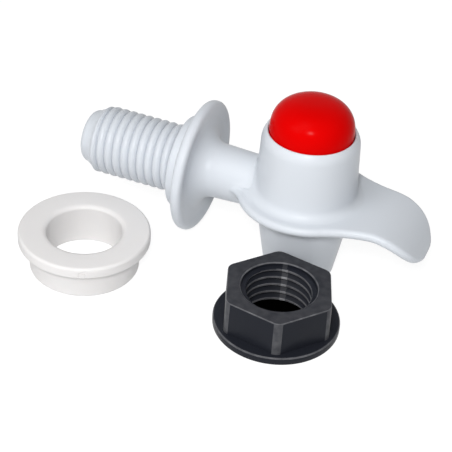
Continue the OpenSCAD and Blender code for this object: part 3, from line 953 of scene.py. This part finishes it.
    def spout_bore(self) -> BMesh:
        """The spout's hollow, below the web, round the seat's raised edge."""
        seat_low = self.web_low - self.seat_h
        mouth = self.floor_z + self.outlet_h
        return turned([(0.0, self.floor_z - 1), (self.outlet_r + 0.3, self.floor_z - 1),
                       (self.outlet_r + 0.3, self.floor_z), (self.outlet_r, self.floor_z + 0.3), (self.outlet_r, mouth),
                       (self.spout_radius(self.web_low) - self.spout_wall, self.web_low),
                       (self.seat_r + 2 * self.seat_w, self.web_low), (self.seat_r + self.seat_w, seat_low),
                       (self.seat_r - 0.5, seat_low), (self.seat_r - 0.5, self.web_low + 1), (0.0, self.web_low + 1)],
                      steps=160)

    def build(self) -> bpy.types.Object:
        """Makes the whole moulding, in place of its solid."""
        solid = combined(self.soft_skin(), self.threaded_rod(), Join.UNION)
        shift = Vector((self.barrel_x, 0, 0))
        for hollow in (self.inlet(), moved(self.well(), shift), moved(self.spout_bore(), shift)):
            solid = combined(solid, hollow, Join.CUT)
        return finished("tap_body_moulding", solid, self.finishes.body, Body.TAP, "body_white", "tap_body")


@dataclass
class PushButton:
    """The red button, a hollow dome with a boss for the stem."""

    finishes: Finishes
    full: float = 2.6
    dome_h: float = 9.4
    wall: float = 2.0
    boss_r: float = 3.7
    boss_drop: float = 1.2
    spigot_r: float = 2.2
    spigot_len: float = 5.0

    def dome(self, radius: float, height: float, start: float, steps: int = 40) -> list[Point]:
        """Outline of a dome from its widest line to its top."""
        angles = [math.pi / 2 * i / steps for i in range(steps + 1)]
        power = 2 / self.full
        points = [(radius * math.cos(a) ** power, start + height * math.sin(a) ** power) for a in angles[:-1]]
        return points + [(0.0, start + height)]

    def build(self) -> bpy.types.Object:
        """Turns the button as one shell, in place of its solid."""
        low, high = corner("push_button")
        radius = (high.y - low.y) / 2
        start = high.z - self.dome_h
        inner = self.dome(radius - self.wall, self.dome_h - self.wall, start)
        boss_z = start - self.boss_drop
        inside = [p for p in inner if p[0] > self.boss_r]
        roof = inside[-1][1] + 0.1
        profile = [(0.0, boss_z + self.spigot_len), (self.spigot_r, boss_z + self.spigot_len), (self.spigot_r, boss_z),
                   (self.boss_r, boss_z), (self.boss_r, roof)] + inside[::-1]
        profile += [(radius - self.wall, low.z), (radius - 0.3, low.z), (radius, low.z + 0.3)]
        profile += self.dome(radius, self.dome_h, start)
        solid = moved(turned(profile, steps=160), Vector(((low.x + high.x) / 2, 0, 0)))
        return finished("push_button_dome", solid, self.finishes.button, Body.PLUNGER, "button_red", "push_button")


@dataclass
class ReturnSpring:
    """The coil that lifts the button, with a closed turn at each end."""

    finishes: Finishes
    wire: float = 1.0
    turns: int = 6
    closed_lead: float = 1.04
    per_turn: int = 40

    def build(self) -> bpy.types.Object:
        """Winds the coil, in place of its solid, and gives it a mesh of its own."""
        low, high = corner("return_spring")
        radius = (high.y - low.y) / 2 - self.wire / 2
        bm = bmesh.new()
        start = bmesh.ops.create_circle(bm, cap_ends=True, segments=12, radius=self.wire / 2)
        bmesh.ops.rotate(bm, verts=start["verts"], cent=(0, 0, 0), matrix=Matrix.Rotation(math.pi / 2, 3, "X"))
        bmesh.ops.translate(bm, verts=start["verts"], vec=(radius, 0, self.wire / 2))
        rise = (high.z - low.z - self.wire - 2 * self.closed_lead * self.wire) / (self.turns - 2)
        geometry = bm.verts[:] + bm.edges[:] + bm.faces[:]
        closed = (1, self.closed_lead * self.wire)
        for turns, lead in (closed, (self.turns - 2, rise), closed):
            steps = turns * self.per_turn
            made = bmesh.ops.spin(bm, geom=geometry, cent=(0, 0, 0), axis=(0, 0, 1), dvec=(0, 0, lead / self.per_turn),
                                  angle=2 * math.pi * turns, steps=steps, use_merge=False, use_duplicate=False)
            geometry = made["geom_last"]
        bmesh.ops.recalc_face_normals(bm, faces=bm.faces)
        moved(bm, Vector(((low.x + high.x) / 2, 0, low.z)))
        made = finished("return_spring_coil", bm, self.finishes.steel, Body.TAP, "spring_steel", "return_spring")
        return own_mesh(made)


@dataclass
class SealingBush:
    """The loose stepped ring that seals the hole round the shank."""

    finishes: Finishes
    flange_r: float = 18.55
    flange_t: float = 3.3
    hub_r: float = 15.7
    height: float = 12.1
    bore_r: float = 10.6
    mouth: float = 1.7
    mouth_depth: float = 1.1
    bevel: float = 0.5
    edge: float = 0.9
    gate_r: float = 1.2
    gate_turn: float = -65.3
    gate_z: float = 9.9
    gate_width: float = 0.38
    gate_depth: float = 0.25

    def gate_mark(self) -> BMesh:
        """The fine round groove that the mould's gate leaves on the rim, as a solid that cuts the ring."""
        inner = self.gate_r - self.gate_width
        groove = turned([(inner, -self.gate_depth), (self.gate_r, -self.gate_depth), (self.gate_r, 1.0), (inner, 1.0)],
                        steps=48, ring=True)
        groove.transform(Matrix.Rotation(math.pi / 2, 4, "Y"))
        angle = math.radians(self.gate_turn)
        return moved(groove, Vector((self.flange_r * math.cos(angle), self.flange_r * math.sin(angle), self.gate_z)),
                     self.gate_turn)

    def profile(self) -> list[Point]:
        """Closed outline of the ring's section."""
        hub_h = self.height - self.flange_t
        points = [(self.bore_r, self.bevel), (self.bore_r + self.bevel, 0.0)]
        points += arc((self.hub_r - self.edge - 0.25, self.edge), self.edge, -90, 0, 8)
        points += [(self.hub_r, hub_h - 0.3)] + arc((self.hub_r + 0.3, hub_h - 0.3), 0.3, 180, 90, 4)
        points += arc((self.flange_r - 0.5, hub_h + 0.5), 0.5, -90, 0, 6)
        points += arc((self.flange_r - self.edge, self.height - self.edge), self.edge, 0, 90, 10)
        low = self.height - self.mouth_depth
        rounding = arc((0.0, 0.0), 1.0, 90, 180, 14)
        return points + [(self.bore_r + self.mouth * (1 + x), low + self.mouth_depth * z) for x, z in rounding]

    def build(self) -> bpy.types.Object:
        """Turns the ring and marks its rim, where its solid lies."""
        place = middle("sealing_bush")
        ring = turned(self.profile(), steps=160, ring=True)
        solid = moved(combined(ring, self.gate_mark(), Join.CUT), place)
        return finished("sealing_bush_ring", solid, self.finishes.bush, Body.TAP, "bush_white", "sealing_bush")


@dataclass
class BackNut:
    """The loose flanged nut."""

    finishes: Finishes
    turn: float = 50.3
    across_flats: float = 28.6
    flange_r: float = 17.4
    rim_h: float = 2.4
    height: float = 12.8
    draft: float = 1.2
    corner_round: float = 1.4
    mouth_r: float = 10.4
    mouth_depth: float = 1.1
    thread_r: float = 10.1
    core_r: float = 8.95
    pitch: float = 2.5
    phase: float = 0.875
    edge: float = 0.5
    # Painted highlights: a bright strip of the thread at this turn, then the shares of its faces, crests, rims and
    # corners.
    glint_turn: float = 51.0
    glint_half: float = 4.0
    highlight_glint: float = 0.95
    highlight_crest: float = 0.38
    highlight_wall: float = 0.12
    highlight_rim: float = 0.3
    highlight_corner: float = 0.22
    groove: tuple[Point, ...] = ((0.0, 0.0), (0.10, 0.0), (0.14, 0.1), (0.30, 0.8), (0.38, 0.96), (0.5, 1.0),
                                 (0.62, 0.96), (0.70, 0.8), (0.86, 0.1), (0.90, 0.0), (1.0, 0.0))

    def hexagon(self) -> BMesh:
        """The six-sided body, drafted, with rounded corners and a softened top edge."""
        bm = bmesh.new()
        bmesh.ops.create_circle(bm, cap_ends=True, segments=6, radius=self.across_flats / math.sqrt(3),
                                matrix=Matrix.Rotation(math.pi / 6, 4, "Z"))
        grown = bmesh.ops.extrude_face_region(bm, geom=bm.faces[:])
        top = [v for v in grown["geom"] if isinstance(v, bmesh.types.BMVert)]
        bmesh.ops.translate(bm, verts=top, vec=(0, 0, self.height))
        shrink = 1 - self.height * math.tan(math.radians(self.draft)) / (self.across_flats / 2)
        bmesh.ops.scale(bm, verts=top, vec=(shrink, shrink, 1))
        bmesh.ops.recalc_face_normals(bm, faces=bm.faces)
        upright = [e for e in bm.edges if abs(e.verts[0].co.z - e.verts[1].co.z) > 1]
        bmesh.ops.bevel(bm, geom=upright, offset=self.corner_round, segments=3, profile=0.5, affect="EDGES",
                        material=-1)
        rim = [e for e in bm.edges if all(v.co.z > self.height - 0.1 for v in e.verts)]
        bmesh.ops.bevel(bm, geom=rim, offset=0.35, segments=3, profile=0.5, affect="EDGES", material=-1)
        return bm

    def flange(self) -> BMesh:
        """The round flange with its softened rim."""
        inner = self.across_flats / 2 - self.edge
        profile = [(0.0, 0.0)] + arc((self.flange_r - self.edge, self.edge), self.edge, -90, 0, 5)
        profile += arc((self.flange_r - self.edge, self.rim_h - self.edge), self.edge, 0, 90, 6)
        profile += [(inner, self.rim_h + 0.15), (0.0, self.rim_h + 0.15)]
        return turned(profile, steps=160)

    def thread(self) -> BMesh:
        """The threaded hole as a solid that cuts the nut."""
        depth = self.thread_r - self.core_r
        outline = [(self.core_r + depth * ridge, self.pitch * share) for share, ridge in self.groove]
        turns = math.ceil((self.height + 2) / self.pitch) + 3
        bm = wound(outline, Vector((0, 0, 1)), self.pitch, turns)
        bm.transform(Matrix.Translation((0, 0, self.phase - 2 * self.pitch)))
        return trimmed(bm, Axis.UP, -1.0, self.height + 1.0)

    def mouth(self) -> BMesh:
        """The counterbore and the lead-in below, as one solid that cuts the nut."""
        top = self.height
        low = [(0.0, -1.0), (self.thread_r + self.edge, -1.0), (self.thread_r + self.edge, 0.0),
               (self.core_r - self.edge, 1.2), (0.0, 1.2)]
        high = [(0.0, top + 1), (self.mouth_r + 0.3, top + 1), (self.mouth_r + 0.3, top), (self.mouth_r, top - 0.3),
                (self.mouth_r, top - self.mouth_depth), (0.0, top - self.mouth_depth)]
        return joined([turned(low, steps=144), turned(high, steps=144)])

    def highlight_share(self, centre: Vector, normal: Vector) -> float:
        """How strong the painted highlight on a face is: on the rims and on a strip of the thread most, then on corners
        and crests.

        Args:
            centre: Centre of the face, from the nut's foot.
            normal: Direction that the face looks in.

        Returns:
            A share from 0 to 1.
        """
        radius = math.hypot(centre.x, centre.y)
        leaning = 0.15 < normal.z < 0.95
        in_glint = abs(math.degrees(math.atan2(centre.y, centre.x)) - self.glint_turn) < self.glint_half
        # Every share returned here is a painted highlight.
        if radius < self.core_r + 0.1 and self.edge < centre.z < self.height - self.mouth_depth - 0.05:
            return self.highlight_glint if in_glint else self.highlight_crest
        if in_glint and radius < self.mouth_r + 0.1:
            return self.highlight_wall
        if leaning and (centre.z > self.height - 0.6 or (centre.z > self.rim_h - 0.6 and radius > self.flange_r - 0.7)):
            return self.highlight_rim
        past_flat = (math.degrees(math.atan2(normal.y, normal.x)) + 30) % 60
        upright = centre.z > self.rim_h + 0.2 and radius > self.across_flats / 2 and abs(normal.z) < 0.15
        if upright and 8 < past_flat < 52:
            return self.highlight_corner
        return 0.0

    def build(self) -> bpy.types.Object:
        """Makes the nut where its solid lies."""
        solid = combined(self.hexagon(), self.flange(), Join.UNION)
        for hollow in (self.thread(), self.mouth()):
            solid = combined(solid, hollow, Join.CUT)
        solid.normal_update()
        # Face layers: 'top' keeps the lit colour on the top face while all else takes painted shade; 'worn' holds the
        # painted highlights.
        for name in (FaceMasks.PAINTED_LIGHT_TOP, FaceMasks.PAINTED_HIGHLIGHT):
            solid.faces.layers.float.new(name)
        top, worn = (solid.faces.layers.float[name] for name in (FaceMasks.PAINTED_LIGHT_TOP, FaceMasks.PAINTED_HIGHLIGHT))
        for face in solid.faces:
            centre = face.calc_center_median()
            face[top] = 1.0 if centre.z > self.height - 0.6 and face.normal.z > 0.3 else 0.0
            face[worn] = self.highlight_share(centre, face.normal)
        moved(solid, middle("back_nut"), self.turn)
        return finished("back_nut_moulding", solid, self.finishes.nut, Body.TAP, "nut_dark", "back_nut", crease=32)


@dataclass
class InnerParts:
    """The valve parts that keep their solids and only get their finish."""

    finishes: Finishes

    def build(self) -> None:
        """Puts each inner part's finish on its solid."""
        looks = {"button_stem": self.finishes.stem, "stem_seal": self.finishes.seal, "guide_bush": self.finishes.stem,
                 "guide_bush_seal": self.finishes.seal, "valve_washer": self.finishes.washer,
                 "backing_plate": self.finishes.stem, "washer_screw": self.finishes.steel}
        for node, material in looks.items():
            made = frame["nodes"][node]
            made.data.materials.clear()
            made.data.materials.append(material)
            log.info("%s keeps its solid", node)


@dataclass(frozen=True)
class Lamp:
    """A square lamp: its direction in degrees round the tap from the front and up, then metres and watts."""

    name: str
    side: float
    height: float
    away: float
    size: float
    power: float

    def hang(self, centre: Vector) -> None:
        """Hangs the lamp so that it shines at a place."""
        side, height = math.radians(self.side), math.radians(self.height)
        direction = Vector((math.sin(side) * math.cos(height), -math.cos(side) * math.cos(height), math.sin(height)))
        data = bpy.data.lights.new(self.name, "AREA")
        data.size = self.size
        data.energy = self.power
        made = bpy.data.objects.new(self.name, data)
        made.location = centre + self.away * direction
        made.rotation_euler = (-direction).to_track_quat("-Z", "Y").to_euler()
        bpy.context.scene.collection.objects.link(made)


@dataclass
class Studio:
    """Floor, white surroundings, lamps and camera."""

    floor_z: float
    eye: Vector = field(default_factory=lambda: Vector((128.3, -319.4, 230.3)))
    aim: Vector = field(default_factory=lambda: Vector((7.67, 7.39, -24.3)))
    roll: float = 3.914
    lens: float = 115.84
    sensor: float = 36.0
    surround: float = 0.13
    front_glow: Colour = (0.0, -0.34, 0.26)
    floor_glow: float = 0.9
    floor_shade: float = 0.2
    floor_bounce: float = 0.8
    # Radii in mm over which the painted shade on the floor inside the nut fades out.
    painted_shade_r: tuple[float, float] = (12.0, 15.0)
    lamps: tuple[Lamp, ...] = (Lamp("flash", 16.0, 39.0, 0.5, 0.07, 1.3),
                               Lamp("fill lamp", -30.0, 40.0, 0.55, 0.25, 0.5),
                               Lamp("high lamp", -12.0, 66.0, 0.55, 0.25, 0.45))

    def camera(self) -> None:
        """Stands the camera where the photograph was taken from."""
        made = bpy.data.objects.new("camera", bpy.data.cameras.new("camera"))
        made.data.lens = self.lens
        made.data.sensor_width = self.sensor
        made.data.clip_start = 0.01
        turned_view = (self.aim - self.eye).to_track_quat("-Z", "Y").to_matrix()
        tilt = Matrix.Rotation(math.radians(self.roll), 3, "Z")
        made.matrix_world = Matrix.Translation(self.eye * MM) @ (turned_view @ tilt).to_4x4()
        bpy.context.scene.collection.objects.link(made)
        bpy.context.scene.camera = made

    def floor(self) -> None:
        """Lays a white floor under the pieces, with painted shade on the floor inside the nut."""
        bm = bmesh.new()
        bmesh.ops.create_grid(bm, x_segments=1, y_segments=1, size=3.0)
        bmesh.ops.translate(bm, verts=bm.verts, vec=(0, 0, self.floor_z * MM))
        mesh = bpy.data.meshes.new("floor")
        bm.to_mesh(mesh)
        bm.free()
        made = bpy.data.objects.new("floor", mesh)
        bpy.context.scene.collection.objects.link(made)
        mesh.materials.append(self.floor_material())
        made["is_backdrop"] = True

    def floor_material(self) -> bpy.types.Material:
        """White that only darkens in the shadows under the pieces, with painted shade: a dark spot on the floor inside
        the nut.

        Returns:
            The material.
        """
        material = bpy.data.materials.new("floor white")
        material.use_nodes = True
        tree, link = material.node_tree, material.node_tree.links.new
        shader = tree.nodes["Principled BSDF"]
        for label, value in (("Emission Color", WHITE), ("Roughness", 0.9), ("Specular IOR Level", 0.0)):
            shader.inputs[label].default_value = value
        clear, seen = self.clear_of_painted_shade(tree), self.seen_directly(tree)
        # The nearly black colour is painted shade on the floor inside the nut, which also loses its glow there.
        colour = add_node(tree, "Mix", {"A": (0.0005, 0.0005, 0.0005, 1.0)}, data_type="RGBA")
        shade = add_node(tree, "MapRange", {"To Min": self.floor_bounce, "To Max": self.floor_shade})
        fade = add_node(tree, "Math", {1: self.floor_glow}, operation="MULTIPLY")
        glow = add_node(tree, "Math", operation="MULTIPLY")
        link(clear, colour.inputs["Factor"])
        link(seen, shade.inputs["Value"])
        link(shade.outputs["Result"], colour.inputs["B"])
        link(colour.outputs["Result"], shader.inputs["Base Color"])
        link(seen, fade.inputs[0])
        link(fade.outputs[0], glow.inputs[0])
        link(clear, glow.inputs[1])
        link(glow.outputs[0], shader.inputs["Emission Strength"])
        return material

    def clear_of_painted_shade(self, tree: bpy.types.NodeTree) -> bpy.types.NodeSocket:
        """Adds a mask that is 0 on the floor inside the nut, where the painted shade goes, and 1 outside it.

        Args:
            tree: The nodes that it is added to.

        Returns:
            The mask.
        """
        place = add_node(tree, "TexCoord")
        apart = add_node(tree, "VectorMath", {1: middle("back_nut") * MM}, operation="DISTANCE")
        limits = {"From Min": self.painted_shade_r[0] * MM, "From Max": self.painted_shade_r[1] * MM}
        painted_shade_patch = add_node(tree, "MapRange", limits, interpolation_type="SMOOTHSTEP")
        tree.links.new(place.outputs["Object"], apart.inputs[0])
        tree.links.new(apart.outputs["Value"], painted_shade_patch.inputs["Value"])
        return painted_shade_patch.outputs["Result"]

    def seen_directly(self, tree: bpy.types.NodeTree) -> bpy.types.NodeSocket:
        """Adds a mask that is 1 where a ray shows the surroundings: straight, mirrored or through glass.

        Args:
            tree: The nodes that it is added to.

        Returns:
            The mask.
        """
        path = add_node(tree, "LightPath")
        mask = path.outputs["Is Camera Ray"]
        for label in ("Is Glossy Ray", "Is Transmission Ray"):
            either = add_node(tree, "Math", operation="MAXIMUM")
            tree.links.new(mask, either.inputs[0])
            tree.links.new(path.outputs[label], either.inputs[1])
            mask = either.outputs[0]
        return mask

    def world(self) -> None:
        """Sets the surroundings, which look white and light the pieces gently, most from the front."""
        made = bpy.data.worlds.new("studio")
        bpy.context.scene.world = made
        made.use_nodes = True
        tree, link = made.node_tree, made.node_tree.links.new
        place = add_node(tree, "TexCoord")
        along = add_node(tree, "VectorMath", {1: self.front_glow}, operation="DOT_PRODUCT")
        front = add_node(tree, "Math", {1: 0.0}, operation="MAXIMUM")
        whole = add_node(tree, "Math", {1: self.surround}, operation="ADD")
        level = add_node(tree, "MapRange", {"To Max": 1.0})
        link(place.outputs["Generated"], along.inputs[0])
        link(along.outputs["Value"], front.inputs[0])
        link(front.outputs[0], whole.inputs[0])
        link(whole.outputs[0], level.inputs["To Min"])
        link(self.seen_directly(tree), level.inputs["Value"])
        link(level.outputs["Result"], tree.nodes["Background"].inputs["Strength"])
        tree.nodes["Background"].inputs["Color"].default_value = WHITE

    def build(self) -> None:
        """Sets the whole studio up."""
        self.camera()
        self.floor()
        self.world()
        for lamp in self.lamps:
            lamp.hang(Vector((self.aim.x, self.aim.y, self.aim.z + 20)) * MM)
        bpy.context.scene.view_settings.view_transform = "Standard"


def main() -> None:
    """Builds every piece and the studio."""
    logging.basicConfig(level=logging.INFO, format="%(message)s")
    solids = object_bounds()
    outlet = next(m for m in frame["record"]["mounts"] if m["name"] == "outlet_bore")
    barrel_x = outlet["pos_m"][0] / MM
    floor_z = solids[0][2] / MM
    finishes = Finishes()
    TapBody(barrel_x, floor_z, finishes).build()
    PushButton(finishes).build()
    ReturnSpring(finishes).build()
    SealingBush(finishes).build()
    BackNut(finishes).build()
    InnerParts(finishes).build()
    Studio(floor_z).build()
    bpy.context.view_layer.update()


if __name__ == "__main__":
    main()
